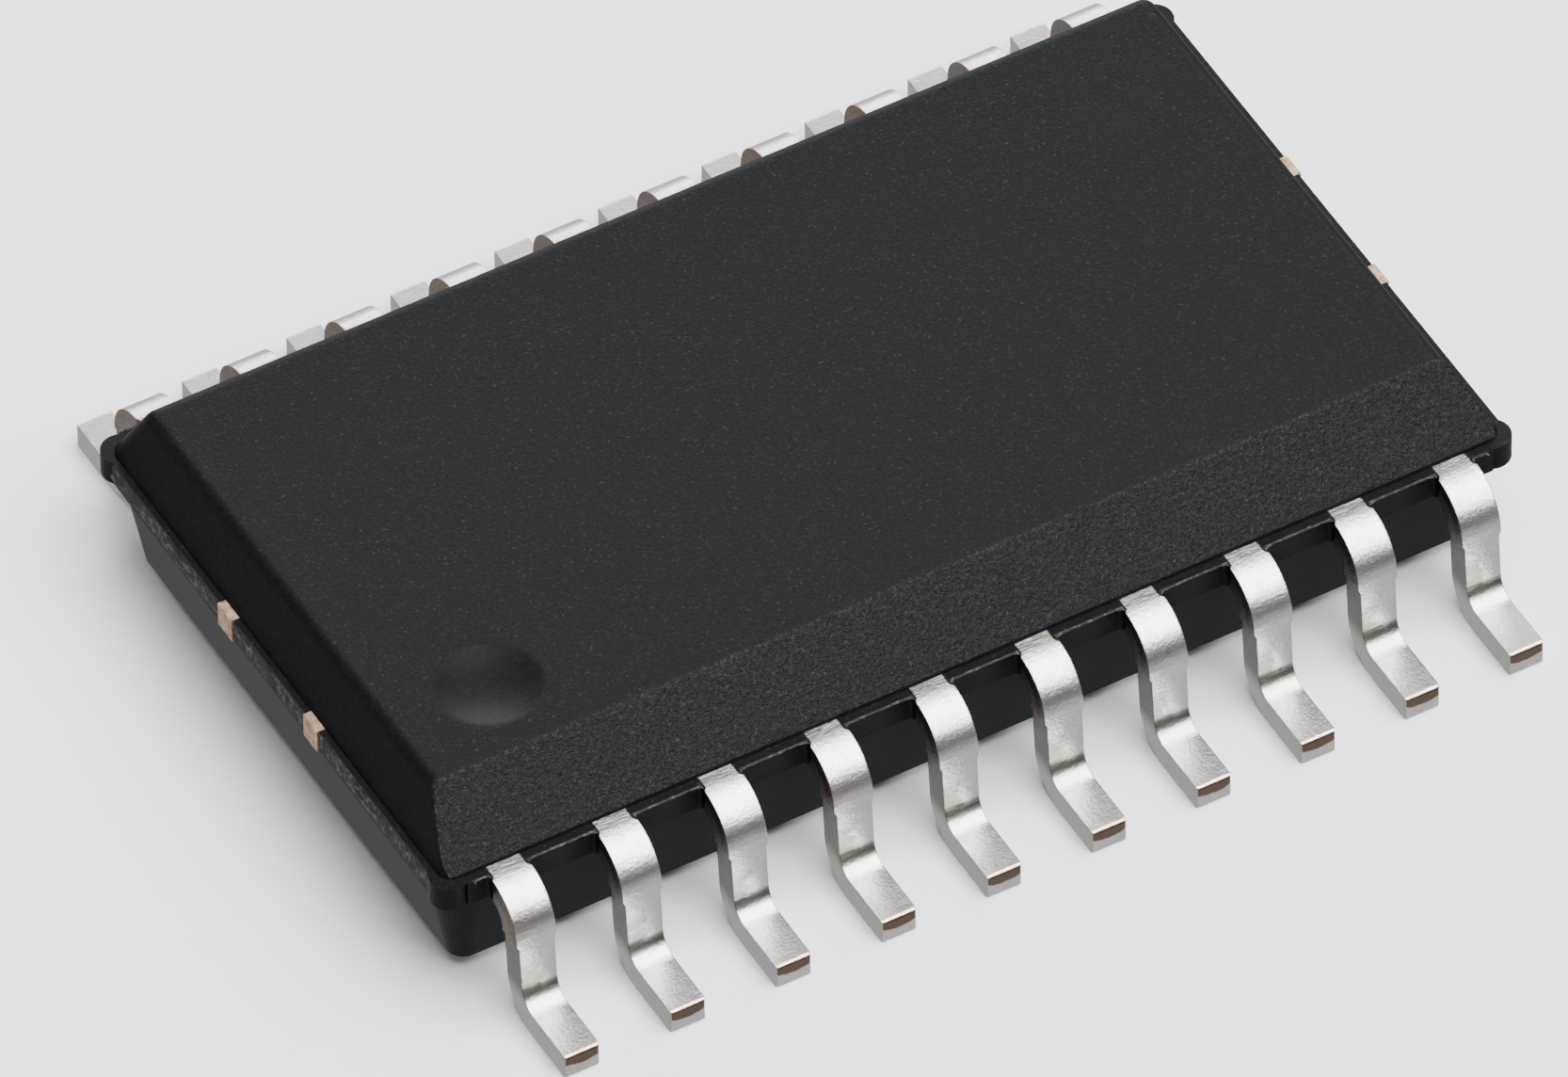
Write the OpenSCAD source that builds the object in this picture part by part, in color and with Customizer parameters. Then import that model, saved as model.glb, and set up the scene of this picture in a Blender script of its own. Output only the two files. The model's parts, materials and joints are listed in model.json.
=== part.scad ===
// SOIC-20W: a wide-body small-outline package with 20 gull-wing leads.
// +X runs along the long side, pin 1 is at -X -Y, +Z is up, and the soles of
// the feet lie on z = 0.  Pins count anticlockwise seen from above.

/* [Moulded body] */
// Length of the body at the lead frame
body_length = 12.8; // [12.6:0.1:13.4]
// Width of the body at the lead frame
body_width = 7.3; // [7.2:0.1:7.6]
// Height of the top face above the seating plane
seated_height = 2.35; // [2.35:0.05:2.65]
// Gap between the seating plane and the underside
standoff = 0.2; // [0.1:0.05:0.3]
// Draft of the walls above the lead frame, in degrees
upper_draft = 25; // [5:1:26]
// Draft of the walls below the lead frame, in degrees
lower_draft = 10; // [5:1:14]
// Radius along the edges of the top face
top_edge_radius = 0.16; // [0.1:0.02:0.24]
// Radius of the upright corners above the lead frame
upper_corner_radius = 0.2; // [0.12:0.02:0.3]
// Radius of the upright corners below the lead frame
lower_corner_radius = 0.42; // [0.3:0.02:0.5]
// Width of the bevel along the pin 1 side, seen from above
bevel_width = 0.5; // [0.3:0.02:0.54]
// Height of the bevel along the pin 1 side
bevel_height = 0.42; // [0.3:0.02:0.44]

/* [Marks] */
// Diameter of the pin 1 dimple
dimple_diameter = 1.18; // [0.8:0.02:1.6]
// Depth of the pin 1 dimple
dimple_depth = 0.09; // [0.04:0.01:0.12]
// Distance from the end of the body to the centre of the dimple
dimple_from_end = 1.5; // [1.4:0.02:2]
// Distance from the pin 1 side of the body to the centre of the dimple
dimple_from_side = 1.74; // [1.6:0.02:2]
// Diameter of the ejector marks on the underside
ejector_diameter = 1.4; // [1:0.1:1.8]
// Depth of the ejector marks
ejector_depth = 0.04; // [0.02:0.01:0.08]
// Distance between the two ejector marks
ejector_spacing = 7.2; // [6:0.2:8]

/* [Mould flash] */
// Reach of the flash from the end walls
end_flash = 0.07; // [0.04:0.01:0.1]
// Reach of the web between two leads from the side wall
web_reach = 0.12; // [0.08:0.01:0.13]
// Extra reach of the web where it climbs along a lead
web_climb = 0.04; // [0.02:0.01:0.04]
// Radius of the rounded ear at each corner
ear_radius = 0.22; // [0.16:0.02:0.26]
// Reach of an ear past the two walls that meet at its corner
ear_reach = 0.12; // [0.06:0.01:0.14]

/* [Leads] */
// Number of leads on each long side
leads_per_side = 10; // [6:1:10]
// Distance between neighbouring leads
pitch = 1.27; // [1.2:0.01:1.27]
// Distance from toe to toe across the package
toe_span = 10.6; // [10.2:0.05:10.8]
// Thickness of the lead frame
frame_thickness = 0.31; // [0.23:0.01:0.33]
// Height of the underside of the lead frame above the seating plane
frame_height = 1.39; // [1.3:0.01:1.39]
// Width of a lead at its leg and foot
lead_width = 0.42; // [0.36:0.01:0.46]
// Width of a lead where it leaves the body
neck_width = 0.4; // [0.34:0.01:0.42]
// Width of a lead across the cut stubs of the dam bar
dambar_width = 0.47; // [0.44:0.01:0.5]
// Height on the leg where the dam bar stubs end
dambar_low = 1.08; // [0.8:0.02:1.1]
// Flat length of a lead between the body and its upper bend
shoulder_length = 0.17; // [0.17:0.01:0.24]
// Inner radius of the upper bend
upper_bend_radius = 0.22; // [0.16:0.01:0.26]
// Inner radius of the lower bend
lower_bend_radius = 0.24; // [0.16:0.01:0.28]
// Lean of the leg away from upright, in degrees
leg_lean = 4; // [2:1:10]
// Radius along the edges of the toe
toe_radius = 0.04; // [0.02:0.01:0.06]

/* [Lead frame in the body] */
// Length of the straight root of each finger
root_length = 0.62; // [0.5:0.02:0.8]
// Diameter of the locking hole through each root
lock_diameter = 0.18; // [0.12:0.02:0.2]
// Distance between neighbouring finger tips
tip_pitch = 0.8; // [0.7:0.02:0.86]
// Width of a finger at its tip
tip_width = 0.24; // [0.2:0.01:0.3]
// Gap between the finger tips and the die paddle
tip_gap = 0.3; // [0.2:0.02:0.4]
// Length of the die paddle
paddle_length = 6.0; // [5.6:0.1:6.6]
// Width of the die paddle
paddle_width = 3.1; // [2.8:0.1:3.2]
// Width of a tie bar
tie_bar_width = 0.3; // [0.24:0.02:0.4]
// Distance between the two tie bars at each end
tie_bar_spacing = 1.85; // [1.6:0.05:2.2]
// How far a cut tie bar stands out of the end flash
tie_bar_stub = 0.03; // [0.01:0.01:0.05]

/* [Die and wires] */
// Length of the silicon die
die_length = 4.0; // [3:0.1:4.6]
// Width of the silicon die
die_width = 2.3; // [1.8:0.1:2.5]
// Thickness of the silicon die
die_thickness = 0.28; // [0.2:0.01:0.3]
// Thickness of the adhesive under the die
attach_thickness = 0.03; // [0.02:0.01:0.05]
// Width of the adhesive fillet around the die
attach_margin = 0.08; // [0.04:0.01:0.12]
// Distance between neighbouring bond pads
pad_pitch = 0.38; // [0.28:0.01:0.4]
// Distance from the edge of the die to the bond pads
pad_margin = 0.1; // [0.08:0.01:0.14]
// Diameter of a bond wire
wire_diameter = 0.03; // [0.02:0.005:0.04]
// Height of a wire loop above the straight line between its ends
loop_height = 0.16; // [0.1:0.01:0.2]
// Diameter of the ball at the die end of a wire
ball_diameter = 0.08; // [0.06:0.01:0.1]
// Height of that ball
ball_height = 0.02; // [0.015:0.005:0.03]
// Diameter of the flattened stitch at the finger end of a wire
stitch_diameter = 0.07; // [0.05:0.01:0.1]
// Height of that stitch
stitch_height = 0.015; // [0.01:0.005:0.02]

/* [Hidden] */
$fn = 64;
corner_facets = 32;
wire_sides = 6;
wire_steps = 9;
over = 1;
join = 0.0001;
pin_count = 2 * leads_per_side;

// Levels of the lead frame and of what lies on it
frame_top = frame_height + frame_thickness;
die_base = frame_top + attach_thickness;
die_top = die_base + die_thickness;

// Half sizes of the body, and the inset of its walls at top and bottom
half_length = body_length / 2;
half_width = body_width / 2;
upper_inset = (seated_height - frame_top) * tan(upper_draft);
lower_inset = (frame_height - standoff) * tan(lower_draft);

// Centres of the two bends of a lead, as distance from the middle and height
mid_thickness = frame_thickness / 2;
upper_centre = [half_width + shoulder_length, frame_height - upper_bend_radius];
lower_centre_z = lower_bend_radius + frame_thickness;
upper_mid_radius = upper_bend_radius + mid_thickness;
lower_mid_radius = lower_bend_radius + mid_thickness;
leg_drop = upper_centre.y - lower_centre_z
    + (upper_mid_radius + lower_mid_radius) * sin(leg_lean);
leg_length = leg_drop / cos(leg_lean);
leg_run = leg_length * sin(leg_lean);
bend_run = (upper_mid_radius + lower_mid_radius) * cos(leg_lean);
lower_centre = [upper_centre.x + bend_run + leg_run, lower_centre_z];
toe = toe_span / 2;

// Where the finger tips and the wires lie
tip_reach = paddle_width / 2 + tip_gap;
root_end = half_width - root_length;
stitch_setback = 0.1;
row_middle = (leads_per_side + 1) / 2;

function two_digits(n) = str(n < 10 ? "0" : "", n);

// Pins up to leads_per_side lie on the -Y side, the others on the +Y side
function is_front(pin) = pin <= leads_per_side;
function pin_place(pin) =
    is_front(pin) ? pin - row_middle : pin_count + 1 - pin - row_middle;

LEADS = [for (pin = [1:pin_count]) str("lead_", two_digits(pin))];
WIRES = [for (pin = [1:pin_count]) str("bond_wire_", two_digits(pin))];

// Mirrors what is drawn for the +Y side onto the pin's own side
module on_side(pin) {
    mirror([0, is_front(pin) ? 1 : 0, 0]) children();
}

// A block of the given outline between two heights
module slab(low, high) {
    translate([0, 0, low]) linear_extrude(high - low) children();
}

// ---- Moulded body ----

module at_corners(reach_x, reach_y) {
    for (side_x = [-1, 1], side_y = [-1, 1])
        translate([side_x * reach_x, side_y * reach_y, 0]) children();
}

// The half below the lead frame: drafted walls and broad upright corners
module lower_half() {
    radius = lower_corner_radius;
    hull() at_corners(half_length - radius, half_width - radius)
        translate([0, 0, standoff])
            cylinder(frame_height - standoff, radius - lower_inset, radius, $fn = corner_facets);
}

// The half above the lead frame, with a rounded rim round its top face
module upper_half() {
    radius = upper_corner_radius;
    rim_inset = upper_inset + top_edge_radius * (1 / cos(upper_draft) - tan(upper_draft));
    hull() {
        at_corners(half_length - radius, half_width - radius)
            translate([0, 0, frame_top]) cylinder(0.01, r = radius, $fn = corner_facets);
        at_corners(half_length - rim_inset, half_width - rim_inset)
            translate([0, 0, seated_height - top_edge_radius])
                sphere(top_edge_radius, $fn = corner_facets);
    }
}

// The wedge that the bevel takes off the pin 1 side
module bevel_cut() {
    ridge = -half_width + upper_inset + bevel_width;
    slope = atan2(bevel_height, bevel_width);
    translate([0, ridge, seated_height]) rotate([slope, 0, 0])
        translate([-body_length, -over, 0]) cube([2 * body_length, 2 * over, over]);
}

module round_ended_slot(length, radius) {
    square([length, 2 * radius], center = true);
    for (side = [-1, 1]) translate([side * length / 2, 0]) circle(radius);
}

// Gaps beside the leads of one row, where the web keeps back from the dam bar
module web_bays() {
    bay = pitch - neck_width - 2 * web_climb;
    for (gap = [0:leads_per_side])
        translate([(gap + 0.5 - row_middle) * pitch, half_width + web_reach + web_climb])
            round_ended_slot(bay - 2 * web_climb, web_climb);
}

// Outline of the moulding at the level of the lead frame, with its flash
module belt_outline() {
    square([body_length - 2 * upper_corner_radius, body_width], center = true);
    square([body_length + 2 * end_flash, body_width - 2 * upper_corner_radius], center = true);
    difference() {
        square(
            [body_length - 2 * upper_corner_radius, body_width + 2 * (web_reach + web_climb)],
            center = true);
        for (side = [0, 1]) mirror([0, side]) web_bays();
    }
    at_corners(half_length + ear_reach - ear_radius, half_width + ear_reach - ear_radius)
        circle(ear_radius);
}

module dimple_cut() {
    ball = (pow(dimple_diameter / 2, 2) + pow(dimple_depth, 2)) / (2 * dimple_depth);
    translate([
        dimple_from_end - half_length, dimple_from_side - half_width,
        seated_height - dimple_depth + ball]) sphere(ball, $fn = 96);
}

module ejector_cuts() {
    for (side = [-1, 1])
        translate([side * ejector_spacing / 2, 0, standoff - over])
            cylinder(over + ejector_depth, d = ejector_diameter);
}

module mould_body() {
    color("#1b1c1d") difference() {
        union() {
            lower_half();
            slab(frame_height, frame_top) belt_outline();
            upper_half();
        }
        bevel_cut();
        dimple_cut();
        ejector_cuts();
        slab(frame_height, frame_top) frame_outline();
        slab(frame_top, die_base) attach_outline();
        slab(die_base, die_top) die_outline();
        for (pin = [1:pin_count]) bond_wire(pin);
    }
}

// ---- Leads ----

// A slice of a bend: the strip's thickness swept from one angle to the other
module bend(inner, from, to) {
    outer = inner + frame_thickness;
    far = 2 * outer;
    intersection() {
        difference() {
            circle(outer);
            circle(inner);
        }
        polygon([[0, 0], far * [cos(from), sin(from)], far * [cos(to), sin(to)]]);
    }
}

// Foot, flat on the seating plane, with the toe's two edges rounded
module foot_profile() {
    flat = toe - lower_centre.x;
    translate([lower_centre.x, 0]) {
        translate([-join, 0]) square([flat + join - toe_radius, frame_thickness]);
        translate([0, toe_radius]) square([flat, frame_thickness - 2 * toe_radius]);
        for (height = [toe_radius, frame_thickness - toe_radius])
            translate([flat - toe_radius, height]) circle(toe_radius);
    }
}

// Side view of a lead outside the body, with Y to the right and Z up
module gull_wing_profile() {
    translate([root_end, frame_height])
        square([upper_centre.x + join - root_end, frame_thickness]);
    translate(upper_centre) {
        bend(upper_bend_radius, leg_lean, 90);
        rotate(leg_lean) translate([upper_bend_radius, -leg_length - join])
            square([frame_thickness, leg_length + 2 * join]);
    }
    translate(lower_centre) bend(lower_bend_radius, 180 + leg_lean, 270);
    foot_profile();
}

// Plan view of the same stretch: neck, dam bar stubs, then leg and foot
module gull_wing_plan() {
    stub_start = half_width + shoulder_length;
    stub_ramp = (dambar_width - neck_width) / 2;
    translate([-neck_width / 2, root_end]) square([neck_width, stub_start - root_end]);
    polygon([
        [-neck_width / 2, stub_start - over / 100], [-dambar_width / 2, stub_start + stub_ramp],
        [-dambar_width / 2, lower_centre.x], [dambar_width / 2, lower_centre.x],
        [dambar_width / 2, stub_start + stub_ramp], [neck_width / 2, stub_start - over / 100]]);
    translate([-lead_width / 2, stub_start])
        square([lead_width, toe - toe_radius - stub_start]);
    translate([toe_radius - lead_width / 2, stub_start])
        square([lead_width - 2 * toe_radius, toe - stub_start]);
    for (side = [-1, 1])
        translate([side * (lead_width / 2 - toe_radius), toe - toe_radius]) circle(toe_radius);
}

// End view of a lead: the stubs of the dam bar reach down to dambar_low
module gull_wing_front() {
    stub_ramp = (dambar_width - lead_width) / 2;
    translate([-lead_width / 2, -over]) square([lead_width, frame_top + 2 * over]);
    polygon([
        [-lead_width / 2, dambar_low], [-dambar_width / 2, dambar_low + 2 * stub_ramp],
        [-dambar_width / 2, frame_top + over], [dambar_width / 2, frame_top + over],
        [dambar_width / 2, dambar_low + 2 * stub_ramp], [lead_width / 2, dambar_low]]);
}

// Flat finger in the body, from the wall to its tip beside the paddle
module finger_outline(place) {
    root_x = place * pitch;
    tip_x = place * tip_pitch;
    difference() {
        polygon([
            [root_x - neck_width / 2, half_width + shoulder_length],
            [root_x + neck_width / 2, half_width + shoulder_length],
            [root_x + neck_width / 2, root_end],
            [tip_x + tip_width / 2, tip_reach],
            [tip_x - tip_width / 2, tip_reach],
            [root_x - neck_width / 2, root_end]]);
        translate([root_x, half_width - root_length / 2]) circle(d = lock_diameter);
    }
}

module gull_wing() {
    intersection() {
        rotate([90, 0, 90]) translate([0, 0, -over]) linear_extrude(2 * over)
            gull_wing_profile();
        slab(-over, frame_top + over) gull_wing_plan();
        rotate([90, 0, 0]) translate([0, 0, -toe - over]) linear_extrude(toe + over)
            gull_wing_front();
        translate([-over, half_width, -over]) cube([2 * over, toe, frame_top + 2 * over]);
    }
}

module lead(pin) {
    color("#c9c6bf") on_side(pin) {
        translate([pin_place(pin) * pitch, 0, 0]) gull_wing();
        slab(frame_height, frame_top) finger_outline(pin_place(pin));
    }
}

// ---- Paddle, die and wires ----

module paddle_outline() {
    tie_reach = half_length + end_flash + tie_bar_stub;
    square([paddle_length, paddle_width], center = true);
    for (side = [-1, 1])
        translate([0, side * tie_bar_spacing / 2])
            square([2 * tie_reach, tie_bar_width], center = true);
}

// Everything of the lead frame that the body closes round
module frame_outline() {
    paddle_outline();
    for (pin = [1:pin_count])
        mirror([0, is_front(pin) ? 1 : 0]) finger_outline(pin_place(pin));
}

module die_outline() {
    square([die_length, die_width], center = true);
}

module attach_outline() {
    square([die_length + 2 * attach_margin, die_width + 2 * attach_margin], center = true);
}

module die_paddle() {
    color("#b58a5e") slab(frame_height, frame_top) paddle_outline();
}

module die_attach() {
    color("#8f9296") slab(frame_top, die_base) attach_outline();
}

module silicon_die() {
    color("#4d5563") slab(die_base, die_top) die_outline();
}

function unit(v) = v / norm(v);

// Middle line of a wire that leaves its ball at start and lands at finish
function loop_point(start, finish, t) =
    start + t * (finish - start) + [0, 0, loop_height * sin(180 * pow(t, 0.6))];
function loop_path(start, finish) =
    [for (step = [0:wire_steps]) loop_point(start, finish, step / wire_steps)];

// Sweeps a round section along a path that lies in one upright plane
module swept_wire(path, diameter) {
    last = len(path) - 1;
    across = unit(cross(path[last] - path[0], [0, 0, 1]));
    ring = [for (k = [0:wire_sides - 1]) 360 * k / wire_sides];
    points = [
        for (k = [0:last])
            let (along = unit(path[min(k + 1, last)] - path[max(k - 1, 0)]),
                 upward = cross(across, along))
            for (angle = ring) path[k] + diameter / 2 * (cos(angle) * across + sin(angle) * upward)];
    sides = [
        for (k = [0:last - 1], j = [0:wire_sides - 1])
            let (a = k * wire_sides + j, b = k * wire_sides + (j + 1) % wire_sides)
            [a, b, b + wire_sides, a + wire_sides]];
    first_cap = [for (j = [wire_sides - 1:-1:0]) j];
    last_cap = [for (j = [0:wire_sides - 1]) last * wire_sides + j];
    polyhedron(points, concat([first_cap], sides, [last_cap]), convexity = 4);
}

module bond_wire(pin) {
    place = pin_place(pin);
    pad = [place * pad_pitch, die_width / 2 - pad_margin, die_top];
    stitch = [place * tip_pitch, tip_reach + stitch_setback, frame_top];
    color("#d8b24a") on_side(pin) {
        translate(pad) cylinder(ball_height, d = ball_diameter, $fn = 16);
        translate(stitch) cylinder(stitch_height, d = stitch_diameter, $fn = 16);
        swept_wire(
            loop_path(pad + [0, 0, ball_height], stitch + [0, 0, stitch_height]), wire_diameter);
    }
}

mould_body();
die_paddle();
die_attach();
silicon_die();
for (pin = [1:pin_count]) {
    lead(pin);
    bond_wire(pin);
}
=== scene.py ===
"""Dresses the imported 20-lead wide small-outline chip package.

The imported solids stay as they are.  This script gives each of them its finish, adds the
broken mould flash that the solids leave out, and sets up the studio and the camera.
"""
import json
import logging
import math
import random
from dataclasses import dataclass, field
from enum import Enum
from typing import Any, Iterable, Union

import bmesh
import bpy
from mathutils import Matrix, Vector, noise


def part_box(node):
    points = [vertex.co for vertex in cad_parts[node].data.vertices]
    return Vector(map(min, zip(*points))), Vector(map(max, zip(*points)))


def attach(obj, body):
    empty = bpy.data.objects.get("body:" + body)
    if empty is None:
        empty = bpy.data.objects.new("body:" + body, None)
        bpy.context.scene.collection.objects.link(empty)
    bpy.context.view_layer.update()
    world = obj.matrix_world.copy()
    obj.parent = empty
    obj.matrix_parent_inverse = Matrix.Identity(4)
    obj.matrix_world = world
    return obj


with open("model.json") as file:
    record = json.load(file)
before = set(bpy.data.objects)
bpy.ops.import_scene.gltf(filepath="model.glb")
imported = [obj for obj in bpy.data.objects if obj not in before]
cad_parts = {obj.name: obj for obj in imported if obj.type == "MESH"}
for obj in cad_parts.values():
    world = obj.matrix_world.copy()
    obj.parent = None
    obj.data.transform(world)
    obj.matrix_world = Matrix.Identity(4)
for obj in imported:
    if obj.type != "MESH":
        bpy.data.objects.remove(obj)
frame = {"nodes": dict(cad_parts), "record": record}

log = logging.getLogger("chip")
MM = 0.001


class Slot(Enum):
    """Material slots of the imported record."""

    MOULD = "mould_compound"
    LEAD = "tinned_lead"
    COPPER = "bare_copper_alloy"
    ADHESIVE = "die_adhesive"
    SILICON = "silicon"
    GOLD = "gold_wire"


class End(Enum):
    """The two short ends of the body, by the sign of X."""

    LEFT = -1
    RIGHT = 1


class Row(Enum):
    """The two rows of leads, by the sign of Y."""

    NEAR = -1
    FAR = 1


# ---------------------------------------------------------------- shader expressions


class Signal:
    """One number socket of a node tree that takes part in Python arithmetic."""

    def __init__(self, sheet: "ShaderSheet", socket: bpy.types.NodeSocket) -> None:
        """Wraps a socket.

        Args:
            sheet: the sheet whose tree holds the socket.
            socket: the output socket.
        """
        self.sheet = sheet
        self.socket = socket

    def __add__(self, other: "Number") -> "Signal":
        """Sum of two values."""
        return self.sheet.maths("ADD", self, other)

    __radd__ = __add__

    def __mul__(self, other: "Number") -> "Signal":
        """Product of two values."""
        return self.sheet.maths("MULTIPLY", self, other)

    __rmul__ = __mul__

    def __sub__(self, other: "Number") -> "Signal":
        """Difference of two values."""
        return self.sheet.maths("SUBTRACT", self, other)

    def __rsub__(self, other: "Number") -> "Signal":
        """Difference with the socket on the right."""
        return self.sheet.maths("SUBTRACT", other, self)

    def __truediv__(self, other: "Number") -> "Signal":
        """Quotient of two values."""
        return self.sheet.maths("DIVIDE", self, other)

    def __pow__(self, other: "Number") -> "Signal":
        """Power of two values."""
        return self.sheet.maths("POWER", self, other)

    def __abs__(self) -> "Signal":
        """Size of the value without its sign."""
        return self.sheet.maths("ABSOLUTE", self)

    def above(self, edge: float, blur: float) -> "Signal":
        """A mask that rises from 0 to 1 across an edge.

        Args:
            edge: the value at which the mask is a half.
            blur: the width of the rise.

        Returns:
            The mask.
        """
        return self.sheet.ramp(self, edge - blur / 2, edge + blur / 2)

    def below(self, edge: float, blur: float) -> "Signal":
        """A mask that falls from 1 to 0 across an edge, the opposite of above()."""
        return 1 - self.above(edge, blur)


Number = Union[Signal, float, int]


class ShaderSheet:
    """A node tree whose nodes are written as expressions."""

    def __init__(self, tree: bpy.types.NodeTree,
                 material: bpy.types.Material | None = None) -> None:
        """Wraps a tree.

        Args:
            tree: the tree of a material or of the world.
            material: the material that owns the tree, if one does.
        """
        self.tree = tree
        self.material = material

    @classmethod
    def of_material(cls, name: str) -> "ShaderSheet":
        """Starts a material with a Principled shader.

        Args:
            name: the material's name.

        Returns:
            The sheet on its tree.
        """
        material = bpy.data.materials.new(name)
        material.use_nodes = True
        return cls(material.node_tree, material)

    def node(self, kind: str, settings: dict[str, Any] | None = None,
             inputs: dict[Any, Any] | None = None) -> bpy.types.Node:
        """Adds a node, sets it, then feeds its sockets.

        Args:
            kind: the node's Blender type.
            settings: attributes of the node, set before the sockets.
            inputs: socket name or index to a Signal, a socket or a plain value.

        Returns:
            The new node.
        """
        made = self.tree.nodes.new(kind)
        for name, value in (settings or {}).items():
            setattr(made, name, value)
        for key, value in (inputs or {}).items():
            self.feed(made.inputs[key], value)
        return made

    def feed(self, target: bpy.types.NodeSocket, value: Any) -> None:
        """Links or sets one input socket.

        Args:
            target: the input socket.
            value: a Signal, an output socket or a plain value.
        """
        if isinstance(value, Signal):
            value = value.socket
        if isinstance(value, bpy.types.NodeSocket):
            self.tree.links.new(value, target)
        else:
            target.default_value = value

    def maths(self, operation: str, *values: Number) -> Signal:
        """A Math node.

        Args:
            operation: the node's operation.
            values: one to three operands.

        Returns:
            The result.
        """
        made = self.node("ShaderNodeMath", {"operation": operation}, dict(enumerate(values)))
        return Signal(self, made.outputs[0])

    def ramp(self, value: Signal, low: float, high: float,
             to_low: float = 0.0, to_high: float = 1.0) -> Signal:
        """Maps a range smoothly onto another and holds its ends.

        Args:
            value: what is mapped.
            low: the value that becomes to_low.
            high: the value that becomes to_high.
            to_low: the result below low.
            to_high: the result above high.

        Returns:
            The mapped value.
        """
        made = self.node(
            "ShaderNodeMapRange", {"interpolation_type": "SMOOTHSTEP"},
            {"Value": value, "From Min": low, "From Max": high, "To Min": to_low,
             "To Max": to_high})
        return Signal(self, made.outputs["Result"])

    def place(self, stretch: tuple[float, float, float] = (1, 1, 1)) -> bpy.types.NodeSocket:
        """Object coordinates in millimetres.

        Args:
            stretch: factors along X, Y and Z.

        Returns:
            The vector socket.
        """
        coordinates = self.node("ShaderNodeTexCoord").outputs["Object"]
        scaled = self.node("ShaderNodeVectorMath", {"operation": "MULTIPLY"},
                           {0: coordinates, 1: tuple(s / MM for s in stretch)})
        return scaled.outputs[0]

    def axes(self, vector: bpy.types.NodeSocket) -> tuple[Signal, Signal, Signal]:
        """The three parts of a vector socket, as signals."""
        made = self.node("ShaderNodeSeparateXYZ", None, {0: vector})
        return tuple(Signal(self, out) for out in made.outputs)

    def grain(self, size: float, detail: float = 3.0, roughness: float = 0.55,
              stretch: tuple[float, float, float] = (1, 1, 1)) -> Signal:
        """Noise whose cells are about a given size.

        Args:
            size: the size of a cell, in millimetres.
            detail: octaves of finer noise.
            roughness: weight of the finer octaves.
            stretch: factors on the coordinates along X, Y and Z.

        Returns:
            The noise, from 0 to 1.
        """
        made = self.node("ShaderNodeTexNoise", None, {
            "Vector": self.place(stretch), "Scale": 1 / size, "Detail": detail,
            "Roughness": roughness})
        return Signal(self, made.outputs[0])

    def true_normal(self) -> bpy.types.NodeSocket:
        """The surface's true normal."""
        return self.node("ShaderNodeNewGeometry").outputs["True Normal"]

    def facing(self) -> tuple[Signal, Signal, Signal]:
        """The surface's true normal, split along X, Y and Z."""
        return self.axes(self.true_normal())

    def facing_towards(self, direction: tuple[float, float, float]) -> Signal:
        """How squarely the surface faces a direction.

        Args:
            direction: a unit vector.

        Returns:
            The cosine of the angle between the true normal and the direction.
        """
        made = self.node("ShaderNodeVectorMath", {"operation": "DOT_PRODUCT"},
                         {0: self.true_normal(), 1: direction})
        return Signal(self, made.outputs["Value"])

    def softened(self, radius: float) -> bpy.types.NodeSocket:
        """The normal with edges rounded over.

        Args:
            radius: radius of the rounding, in millimetres.

        Returns:
            The normal socket.
        """
        made = self.node("ShaderNodeBevel", {"samples": 6}, {"Radius": radius * MM})
        return made.outputs[0]

    def edges(self, radius: float) -> Signal:
        """A mask of the edges, worked out from how far they round over.

        Args:
            radius: reach of the mask from an edge, in millimetres.

        Returns:
            About 0 on flats, more on edges.
        """
        alike = self.node("ShaderNodeVectorMath", {"operation": "DOT_PRODUCT"},
                          {0: self.softened(radius), 1: self.true_normal()})
        return 1 - Signal(self, alike.outputs["Value"])

    def blend(self, mask: Number, first: Any, second: Any) -> bpy.types.NodeSocket:
        """Mixes two colours.

        Args:
            mask: 0 gives the first colour, 1 the second.
            first: a colour or socket.
            second: a colour or socket.

        Returns:
            The mixed colour's socket.
        """
        made = self.node("ShaderNodeMix", {"data_type": "RGBA"},
                         {"Factor": mask, 6: rgba(first), 7: rgba(second)})
        return made.outputs[2]

    def either(self, mask: Number, first: Any, second: Any) -> bpy.types.NodeSocket:
        """Mixes two vectors.

        Args:
            mask: 0 gives the first vector, 1 the second.
            first: a vector socket.
            second: a vector socket.

        Returns:
            The mixed vector's socket.
        """
        made = self.node("ShaderNodeMix", {"data_type": "VECTOR"}, {0: mask, 4: first, 5: second})
        return made.outputs[1]

    def relief(self, height: Signal, depth: float, normal: Any = None,
               strength: float = 1.0) -> bpy.types.NodeSocket:
        """A Bump node.

        Args:
            height: the relief's height, from 0 to 1.
            depth: the real depth of that range, in millimetres.
            normal: the normal socket to start from.
            strength: how much of the relief shows.

        Returns:
            The bumped normal's socket.
        """
        inputs = {"Height": height, "Distance": depth * MM, "Strength": strength}
        if normal is not None:
            inputs["Normal"] = normal
        return self.node("ShaderNodeBump", None, inputs).outputs[0]

    def surface(self, **inputs: Any) -> bpy.types.Material:
        """Feeds the Principled shader.

        Args:
            inputs: socket names, with underscores for spaces, and their values.

        Returns:
            The finished material.
        """
        shader = self.tree.nodes["Principled BSDF"]
        for name, value in inputs.items():
            title = name.replace("_", " ").title().replace("Ior", "IOR")
            self.feed(shader.inputs[title], value)
        return self.material


def rgba(colour: Any) -> Any:
    """Adds an alpha of 1 to a plain colour, and leaves a socket alone.

    Args:
        colour: three numbers, four numbers or a socket.

    Returns:
        The colour with four numbers, or the socket.
    """
    if isinstance(colour, tuple) and len(colour) == 3:
        return (*colour, 1.0)
    return colour


# ---------------------------------------------------------------- measures of the part


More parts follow.
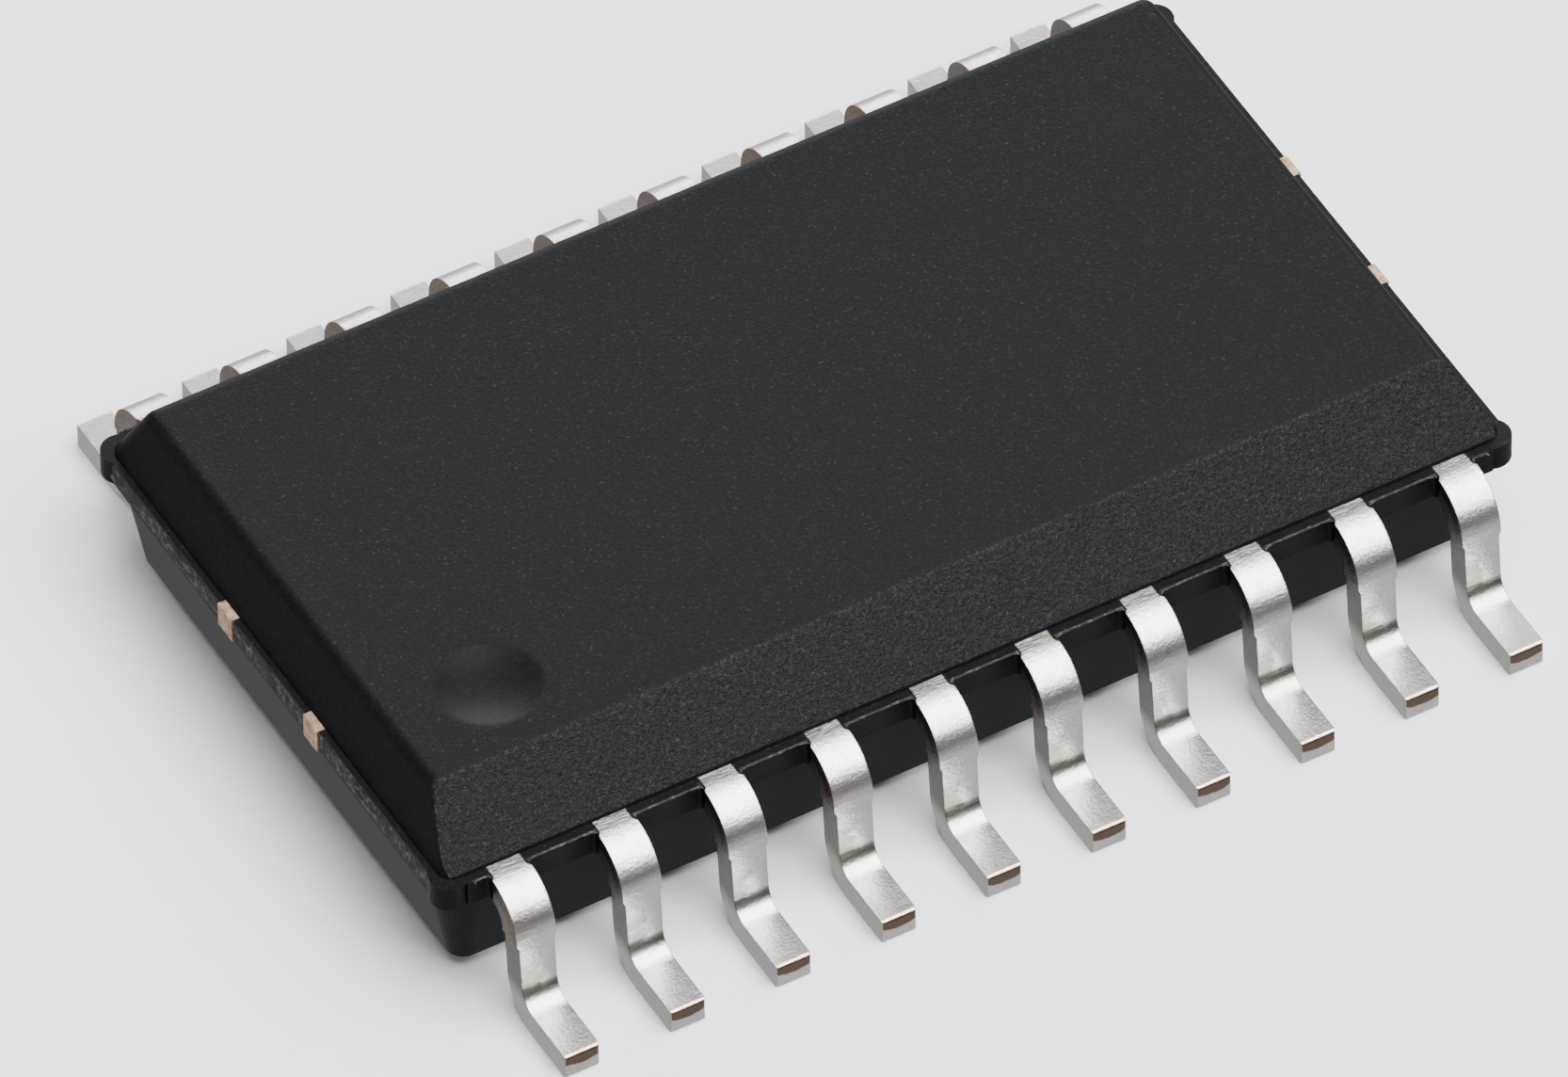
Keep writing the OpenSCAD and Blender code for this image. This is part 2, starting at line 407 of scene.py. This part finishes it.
@dataclass(frozen=True)
class Package:
    """Sizes in millimetres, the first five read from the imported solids.

    The dimple is X, Y and radius.  The upper bend is its centre's distance from the
    middle and height, then its inner and outer radius.
    """

    top: float
    frame_low: float
    frame_high: float
    toe: float
    lead_places: tuple[float, ...]
    dimple: tuple[float, float, float] = (-4.9, -1.91, 0.59)
    wall_length: float = 6.4
    wall_width: float = 3.65
    neck_width: float = 0.4
    pitch: float = 1.27
    web_reach: float = 0.12
    flash_reach: float = 0.07
    upper_bend: tuple[float, float, float, float] = (3.82, 1.17, 0.22, 0.53)

    @classmethod
    def measure(cls) -> "Package":
        """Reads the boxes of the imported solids.

        Returns:
            The part's measures.
        """
        _, high = (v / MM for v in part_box("mould_body"))
        paddle_low, paddle_high = (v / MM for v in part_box("die_paddle"))
        leads = sorted(n for n in frame["nodes"] if n.startswith("lead_"))
        near = [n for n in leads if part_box(n)[0].y < 0]
        toe = max(-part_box(n)[0].y for n in near) / MM
        mounts = {m["name"]: m for m in frame["record"]["mounts"]}
        places = sorted(mounts[n.replace("lead", "pin")]["pos_m"][0] / MM for n in near)
        return cls(high.z, paddle_low.z, paddle_high.z, toe, tuple(places))


# ---------------------------------------------------------------- finishes


@dataclass(frozen=True)
class MouldCompound:
    """Black epoxy moulding compound from a spark-eroded mould."""

    name: str = "mould_compound"
    black: tuple[float, float, float] = (0.0018, 0.0021, 0.0023)
    grey: tuple[float, float, float] = (0.0056, 0.0063, 0.0068)
    # fleck is the colour of the filler flecks, and also of the painted sparkle and painted edge
    # highlight.
    fleck: tuple[float, float, float] = (0.034, 0.037, 0.039)
    bevel_normal: tuple[float, float, float] = (0.0, -0.643, 0.766)
    edge_radius: float = 0.09
    relief_depth: float = 0.022
    lead_clearance: float = 0.17

    def build(self, package: Package) -> bpy.types.Material:
        """Makes the material.

        Args:
            package: the part's measures, for the dimple.

        Returns:
            The material.
        """
        sheet = ShaderSheet.of_material(self.name)
        x, y, z = sheet.axes(sheet.place())
        dimple_x, dimple_y, dimple_radius = package.dimple
        reach = ((x - dimple_x) ** 2.0 + (y - dimple_y) ** 2.0) ** 0.5
        in_dimple = reach.below(dimple_radius, 0.10) * z.above(package.top - 0.2, 0.1)
        on_bevel = sheet.facing_towards(self.bevel_normal).above(0.96, 0.03)
        on_top = sheet.facing()[2].above(0.97, 0.04) * (1 - in_dimple)
        clear = package.frame_high + self.lead_clearance
        # worn marks the body's rounded edges above the leads: rougher grain and more flecks there,
        # and the strongest painted sparkle, which is a painted highlight along the ridges and
        # rims.
        worn = sheet.ramp(sheet.edges(self.edge_radius), 0.004, 0.07) * z.above(clear + 0.03, 0.06)
        coarse = sheet.grain(0.046, 3.0, 0.65)
        fine = sheet.grain(0.020, 2.0, 0.6)
        cloud = sheet.grain(0.9, 4.0, 0.6)
        texture = coarse * 0.6 + fine * 0.4
        rough_zone = sheet.maths("MAXIMUM", on_bevel, worn)
        mottle = sheet.grain(0.050, 2.0, 0.8).above(0.52, 0.22)
        tone = sheet.blend(cloud * 0.20 + mottle * 0.60, self.black, self.grey)
        flecks = sheet.grain(0.040, 1.0, 0.5).above(0.70, 0.06)
        tone = sheet.blend(flecks * (on_top * 0.40 + rough_zone * 0.55), tone, self.fleck)
        # Lighter speckle on the bevel and the edges is painted sparkle, and along the ridges and
        # rims it is a painted highlight.
        painted_sparkle = sheet.grain(0.036, 2.0, 0.75).above(0.56, 0.12)
        tone = sheet.blend(painted_sparkle * (on_bevel * 0.24 + worn * 0.70), tone, self.fleck)
        depth = 0.16 + on_top * 0.20 + rough_zone * 0.84
        rounded = sheet.either(z.above(clear, 0.06), sheet.true_normal(),
                               sheet.softened(self.edge_radius))
        normal = sheet.relief(texture * depth, self.relief_depth, rounded)
        return sheet.surface(
            base_color=tone, normal=normal,
            roughness=0.46 - rough_zone * 0.08, specular_ior_level=0.10)


@dataclass(frozen=True)
class BrokenFlash:
    """Thin epoxy flash, broken off and dusty along its edge."""

    name: str = "broken_flash"
    dark: tuple[float, float, float] = (0.007, 0.007, 0.007)
    dust: tuple[float, float, float] = (0.085, 0.083, 0.078)

    def build(self) -> bpy.types.Material:
        """Makes the material.

        Returns:
            The material.
        """
        sheet = ShaderSheet.of_material(self.name)
        crumbs = sheet.grain(0.09, 5.0, 0.7)
        patches = sheet.grain(0.42, 2.0)
        dust = crumbs.above(0.55, 0.16) * patches.above(0.42, 0.22)
        tone = sheet.blend(dust * 0.85, self.dark, self.dust)
        return sheet.surface(base_color=tone, roughness=0.72,
                             normal=sheet.relief(crumbs, 0.03))


@dataclass(frozen=True)
class TinPlate:
    """Matte tin plating, bare copper where the strip was sheared after plating."""

    name: str = "tinned_lead"
    tin: tuple[float, float, float] = (0.74, 0.72, 0.68)
    dull: tuple[float, float, float] = (0.40, 0.385, 0.36)
    worn: tuple[float, float, float] = (0.235, 0.222, 0.198)
    # dark is the colour of the darker patch on each leg's -X half and of the painted dark
    # reflection band above the lower bend.
    dark: tuple[float, float, float] = (0.145, 0.130, 0.112)
    copper: tuple[float, float, float] = (0.115, 0.062, 0.036)
    # The side faces: partly their own duller grey-brown, mostly painted shade up the leg and
    # painted light at the foot.
    flank_tone_and_shade: tuple[float, float, float] = (0.120, 0.112, 0.100)
    foot_side_tone_and_light: tuple[float, float, float] = (0.48, 0.46, 0.43)

    def build(self, package: Package) -> bpy.types.Material:
        """Makes the material.

        Args:
            package: the part's measures, for the sheared faces.

        Returns:
            The material.
        """
        sheet = ShaderSheet.of_material(self.name)
        x, y, z = sheet.axes(sheet.place())
        face_x, face_y, _ = sheet.facing()
        out = abs(y)
        across = (sheet.maths("FRACT", x / package.pitch) - 0.5) * package.pitch
        on_flank = abs(face_x).above(0.75, 0.2)
        outer = 1 - on_flank
        patches = sheet.grain(0.26, 4.0, 0.6)
        blots = sheet.grain(0.16, 3.0, 0.55)
        grains = sheet.grain(0.040, 3.0, 0.7)
        streaks = sheet.grain(0.030, 3.0, 0.6, (0.18, 1.0, 1.0))
        rub = sheet.grain(0.034, 2.0, 0.6, (0.12, 1.0, 1.0))

        wall = package.wall_width
        shoulder = out.below(wall + 0.17, 0.10) * outer
        crumpled = shoulder * (0.45 + streaks.above(0.46, 0.20) * 0.55)
        leg = z.above(0.48, 0.10) * z.below(0.86, 0.20) * outer
        # Darker towards the -X edge of each leg, broken up by blots.
        minus_x_darkening = leg * (across * -2.4 + blots).above(0.50, 0.30)
        # A painted reflection: a dark band low on the leg, just above the lower bend, standing for
        # the dim horizon the bend would mirror.
        painted_dark_reflection = z.above(0.385, 0.04) * z.below(0.52, 0.06) * outer * abs(face_y).above(0.5, 0.3)
        rubbed = leg * rub.above(0.62, 0.08) * 0.5

        bend_out, bend_up, inner, outer_radius = package.upper_bend
        radius = ((out - bend_out) ** 2.0 + (z - bend_up) ** 2.0) ** 0.5
        band = radius + (patches - 0.5) * 0.08
        stub = band.above(inner + 0.5 * (outer_radius - inner), 0.06) * on_flank
        stub = stub * out.above(wall + 0.15, 0.06) * (z + (blots - 0.5) * 0.12).above(1.08, 0.06)
        end = abs(face_y).above(0.7, 0.3) * out.above(package.toe - 0.035, 0.02)
        arch = 0.150 + abs(across) * abs(across) * 0.9
        sheared = end * (z - arch + (blots - 0.5) * 0.05).above(0.0, 0.025)
        rim = sheet.ramp(sheet.edges(0.022), 0.06, 0.30) * on_flank

        tone = sheet.blend(grains.above(0.55, 0.3) * 0.22 + patches.above(0.5, 0.3) * 0.18,
                           self.tin, self.dull)
        tone = sheet.blend(crumpled * 0.85, tone, self.worn)
        tone = sheet.blend(minus_x_darkening * 0.62 + painted_dark_reflection * 0.70, tone, self.dark)
        tone = sheet.blend(rubbed, tone, self.tin)
        # Side faces get painted shade on the upper flank and painted light lower down at the foot,
        # over their own duller grey-brown tone.
        tone = sheet.blend(on_flank * 0.86, tone,
                           sheet.blend(z.below(0.42, 0.30), self.flank_tone_and_shade, self.foot_side_tone_and_light))
        tone = sheet.blend(rim * patches.above(0.40, 0.2) * 0.65, tone, self.copper)
        tone = sheet.blend(stub * (0.45 + streaks.below(0.5, 0.2) * 0.5), tone, self.copper)
        tone = sheet.blend(sheared * 0.92, tone, self.copper)
        roughness = (0.22 + grains * 0.12 + patches * 0.08 + on_flank * 0.10
                     - stub * 0.08 + shoulder * 0.04)
        height = grains * 0.55 + streaks * (0.25 + shoulder * 0.9) + blots * 0.5
        normal = sheet.relief(height, 0.007, sheet.softened(0.022))
        return sheet.surface(base_color=tone, metallic=1.0, roughness=roughness, normal=normal)


@dataclass(frozen=True)
class Metal:
    """A plain grained metal, such as bare copper strip or gold wire."""

    name: str
    light: tuple[float, float, float]
    dark: tuple[float, float, float]
    roughness: float
    grain: float

    def build(self) -> bpy.types.Material:
        """Makes the material.

        Returns:
            The material.
        """
        sheet = ShaderSheet.of_material(self.name)
        mottle = sheet.grain(self.grain, 4.0, 0.6)
        tone = sheet.blend(mottle.above(0.5, 0.3), self.light, self.dark)
        return sheet.surface(
            base_color=tone, metallic=0.9, roughness=self.roughness + mottle * 0.15,
            normal=sheet.relief(mottle, 0.01))


@dataclass(frozen=True)
class Filler:
    """A plain mottled solid, such as adhesive or polished silicon."""

    name: str
    light: tuple[float, float, float]
    dark: tuple[float, float, float]
    roughness: float
    grain: float

    def build(self) -> bpy.types.Material:
        """Makes the material.

        Returns:
            The material.
        """
        sheet = ShaderSheet.of_material(self.name)
        mottle = sheet.grain(self.grain, 4.0, 0.6)
        return sheet.surface(
            base_color=sheet.blend(mottle.above(0.5, 0.3), self.light, self.dark),
            roughness=self.roughness + mottle * 0.1, normal=sheet.relief(mottle, 0.004))


@dataclass
class Finishes:
    """Every finish of the part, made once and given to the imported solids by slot."""

    package: Package
    made: dict[Slot, bpy.types.Material] = field(default_factory=dict)

    def build(self) -> None:
        """Makes the materials."""
        self.made = {
            Slot.MOULD: MouldCompound().build(self.package),
            Slot.LEAD: TinPlate().build(self.package),
            Slot.COPPER: Metal("bare_copper_alloy", (0.62, 0.46, 0.33), (0.36, 0.22, 0.14),
                               0.38, 0.09).build(),
            Slot.ADHESIVE: Filler("die_adhesive", (0.45, 0.46, 0.48), (0.30, 0.31, 0.33),
                                  0.55, 0.05).build(),
            Slot.SILICON: Filler("silicon", (0.12, 0.14, 0.18), (0.08, 0.10, 0.14),
                                 0.12, 0.4).build(),
            Slot.GOLD: Metal("gold_wire", (0.92, 0.68, 0.28), (0.78, 0.55, 0.20),
                             0.22, 0.05).build(),
        }

    def dress(self) -> None:
        """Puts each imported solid's finish on it."""
        slots = {s["node"]: s["material_slot"] for s in frame["record"]["subparts"]}
        for name, solid in frame["nodes"].items():
            solid.data.materials.clear()
            solid.data.materials.append(self.made[Slot(slots[name])])
            log.info("%s is finished in %s", name, slots[name])


# ---------------------------------------------------------------- mould flash


@dataclass
class MouldFlash:
    """The thin irregular flash along the parting line of the mould."""

    package: Package
    seed: int = 20
    lip: float = 0.016
    thickness: float = 0.012

    def build(self) -> list[bpy.types.Object]:
        """Makes the lips along both rows and the bands across both ends.

        Returns:
            The pieces.
        """
        material = BrokenFlash().build()
        pieces = [self.web_lips(row) for row in Row] + [self.end_band(end) for end in End]
        for piece in pieces:
            piece.data.materials.append(material)
            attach(piece, "root")
            log.info("%s: %d faces", piece.name, len(piece.data.polygons))
        return pieces

    def web_lips(self, row: Row) -> bpy.types.Object:
        """The ragged lips on the webs between the leads of one row.

        Args:
            row: which row.

        Returns:
            One mesh object.
        """
        rng = random.Random(self.seed + row.value)
        mesh = bmesh.new()
        places = self.package.lead_places
        half_neck = self.package.neck_width / 2
        edge = self.package.wall_width + self.package.web_reach
        ends = (-self.package.wall_length + 0.25, self.package.wall_length - 0.25)
        starts = (ends[0], *(p + half_neck for p in places))
        stops = (*(p - half_neck for p in places), ends[1])
        for start, stop in zip(starts, stops):
            self.add_lip(mesh, rng, row, start + 0.02, stop - 0.02, edge)
        return self.finished(mesh, f"web_flash_{row.name.lower()}")

    def add_lip(self, mesh: bmesh.types.BMesh, rng: random.Random, row: Row,
                start: float, stop: float, edge: float) -> None:
        """Adds one ragged lip.

        Args:
            mesh: the mesh that takes it.
            rng: the source of chance.
            row: which row it is on.
            start: where it begins along X.
            stop: where it ends along X.
            edge: distance of the web's edge from the middle.
        """
        steps = max(4, int((stop - start) / 0.03))
        made = bmesh.ops.create_grid(mesh, x_segments=steps, y_segments=2, size=0.5)["verts"]
        for vert in made:
            along = vert.co.x + 0.5
            across = vert.co.y + 0.5
            climb = 0.045 * (abs(2 * along - 1) ** 12)
            wave = noise.noise(Vector((along * 9 + start * 5, row.value * 3, 0))) * 0.5 + 0.5
            ragged = self.lip * wave * rng.uniform(0.5, 1.0) + climb
            vert.co.x = start + along * (stop - start)
            vert.co.y = row.value * (edge - 0.02 + across * (0.02 + ragged))
            droop = across * self.lip * 0.5 * wave
            vert.co.z = self.package.frame_high + 0.004 - droop
        faces = list({f for v in made for f in v.link_faces})
        bmesh.ops.solidify(mesh, geom=faces, thickness=self.thickness)

    def end_band(self, end: End) -> bpy.types.Object:
        """The rough broken band across one short end.

        Args:
            end: which end.

        Returns:
            One mesh object.
        """
        package = self.package
        mesh = bmesh.new()
        length = 2 * package.wall_width - 0.4
        height = package.frame_high - package.frame_low
        made = bmesh.ops.create_grid(mesh, x_segments=150, y_segments=6, size=0.5)["verts"]
        face = package.wall_length + package.flash_reach
        for vert in made:
            along, up = vert.co.x * length, vert.co.y * 2
            spot = Vector((along * 3.1, up * 0.9, end.value * 4.0))
            rough = noise.fractal(spot * 2.2, 0.8, 2.1, 4)
            torn = max(0.0, noise.noise(Vector((along * 1.3, 0, end.value))) + 0.35)
            bulge = (1 - abs(up) ** 3) * (0.012 + 0.03 * torn * (0.5 + rough))
            vert.co.x = end.value * (face - 0.006 + max(0.0, bulge))
            vert.co.y = along
            vert.co.z = package.frame_low + height * (0.5 + up * 0.47)
        return self.finished(mesh, f"end_flash_{end.name.lower()}")

    def finished(self, mesh: bmesh.types.BMesh, name: str) -> bpy.types.Object:
        """Turns a mesh in millimetres into an object in metres.

        Args:
            mesh: the mesh, which is freed.
            name: the object's name.

        Returns:
            The object, at the origin.
        """
        bmesh.ops.recalc_face_normals(mesh, faces=mesh.faces)
        bmesh.ops.transform(mesh, matrix=Matrix.Scale(MM, 4), verts=mesh.verts)
        data = bpy.data.meshes.new(name)
        mesh.to_mesh(data)
        mesh.free()
        data.shade_smooth()
        made = bpy.data.objects.new(name, data)
        bpy.context.scene.collection.objects.link(made)
        return made


# ---------------------------------------------------------------- studio


@dataclass(frozen=True)
class Softbox:
    """One area light of the studio, aimed at the part."""

    name: str
    azimuth: float
    elevation: float
    distance: float
    size: float
    watts: float

    def build(self) -> bpy.types.Object:
        """Makes the light.

        Returns:
            The light's object.
        """
        data = bpy.data.lights.new(self.name, "AREA")
        data.shape = "SQUARE"
        data.size = self.size
        data.energy = self.watts
        made = bpy.data.objects.new(self.name, data)
        bpy.context.scene.collection.objects.link(made)
        away = outward(self.azimuth, self.elevation)
        made.location = away * self.distance
        made.rotation_euler = away.to_track_quat("Z", "Y").to_euler()
        return made


def outward(azimuth: float, elevation: float) -> Vector:
    """The direction from the part towards a viewer.

    Args:
        azimuth: degrees round the part, 0 in front, growing towards +X.
        elevation: degrees above the horizon.

    Returns:
        A unit vector.
    """
    a, e = math.radians(azimuth), math.radians(elevation)
    return Vector((math.sin(a) * math.cos(e), -math.cos(a) * math.cos(e), math.sin(e)))


@dataclass
class Studio:
    """Floor, ambient light, softboxes and camera."""

    azimuth: float = -28.9
    elevation: float = 46.5
    roll: float = -1.0
    distance: float = 0.345
    lens: float = 748.0
    aim_right: float = -0.25
    aim_up: float = 0.147
    floor_size: float = 3.0
    horizon: float = 0.08
    rim: float = 0.60
    sky: float = 0.36
    ground: float = 0.80
    boxes: tuple[Softbox, ...] = (
        Softbox("overhead", 45, 72, 0.50, 0.50, 8.0),
        Softbox("front", 25, 38, 0.60, 0.20, 1.2),
        Softbox("back", 152, 20, 0.60, 0.26, 1.6),
    )

    def build(self) -> None:
        """Sets up everything."""
        self.add_floor()
        self.add_ambient()
        for box in self.boxes:
            box.build()
        self.add_camera()

    def add_floor(self) -> None:
        """The plain pale floor."""
        mesh = bmesh.new()
        bmesh.ops.create_grid(mesh, x_segments=1, y_segments=1, size=self.floor_size / 2)
        data = bpy.data.meshes.new("floor")
        mesh.to_mesh(data)
        mesh.free()
        floor = bpy.data.objects.new("floor", data)
        bpy.context.scene.collection.objects.link(floor)
        sheet = ShaderSheet.of_material("floor_paper")
        data.materials.append(sheet.surface(base_color=(0.95, 0.95, 0.95, 1), roughness=0.9))
        floor.visible_glossy = False

    def add_ambient(self) -> None:
        """Light from all round: sky, ground, and a band between them that is dim in front."""
        world = bpy.data.worlds.new("studio")
        world.use_nodes = True
        sheet = ShaderSheet(world.node_tree)
        background = world.node_tree.nodes["Background"]
        direction = sheet.node("ShaderNodeTexCoord").outputs["Object"]
        _, depth, level = sheet.axes(direction)
        band = self.horizon + depth.above(-0.15, 0.6) * (self.rim - self.horizon)
        light = (band + level.above(0.45, 0.4) * (self.sky - band)
                 + level.below(-0.32, 0.25) * (self.ground - band))
        sheet.feed(background.inputs["Color"], sheet.node(
            "ShaderNodeCombineXYZ", None, {0: light, 1: light, 2: light}).outputs[0])
        bpy.context.scene.world = world

    def add_camera(self) -> None:
        """The camera, far off with a long lens."""
        data = bpy.data.cameras.new("camera")
        data.lens = self.lens
        data.sensor_width = 36
        data.clip_start = 0.01
        data.clip_end = 10
        camera = bpy.data.objects.new("camera", data)
        bpy.context.scene.collection.objects.link(camera)
        back = outward(self.azimuth, self.elevation)
        level = Vector((0, 0, 1)).cross(back).normalized()
        raised = back.cross(level)
        roll = math.radians(self.roll)
        right = level * math.cos(roll) + raised * math.sin(roll)
        up = raised * math.cos(roll) - level * math.sin(roll)
        target = (right * self.aim_right + up * self.aim_up) * MM
        camera.matrix_world = Matrix.Translation(target + back * self.distance) @ Matrix(
            (right, up, back)).transposed().to_4x4()
        bpy.context.scene.camera = camera


# ---------------------------------------------------------------- the whole


def main() -> None:
    """Builds the scene."""
    logging.basicConfig(level=logging.INFO, format="%(message)s")
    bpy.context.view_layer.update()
    package = Package.measure()
    finishes = Finishes(package)
    finishes.build()
    finishes.dress()
    MouldFlash(package).build()
    Studio().build()


if __name__ == "__main__":
    main()
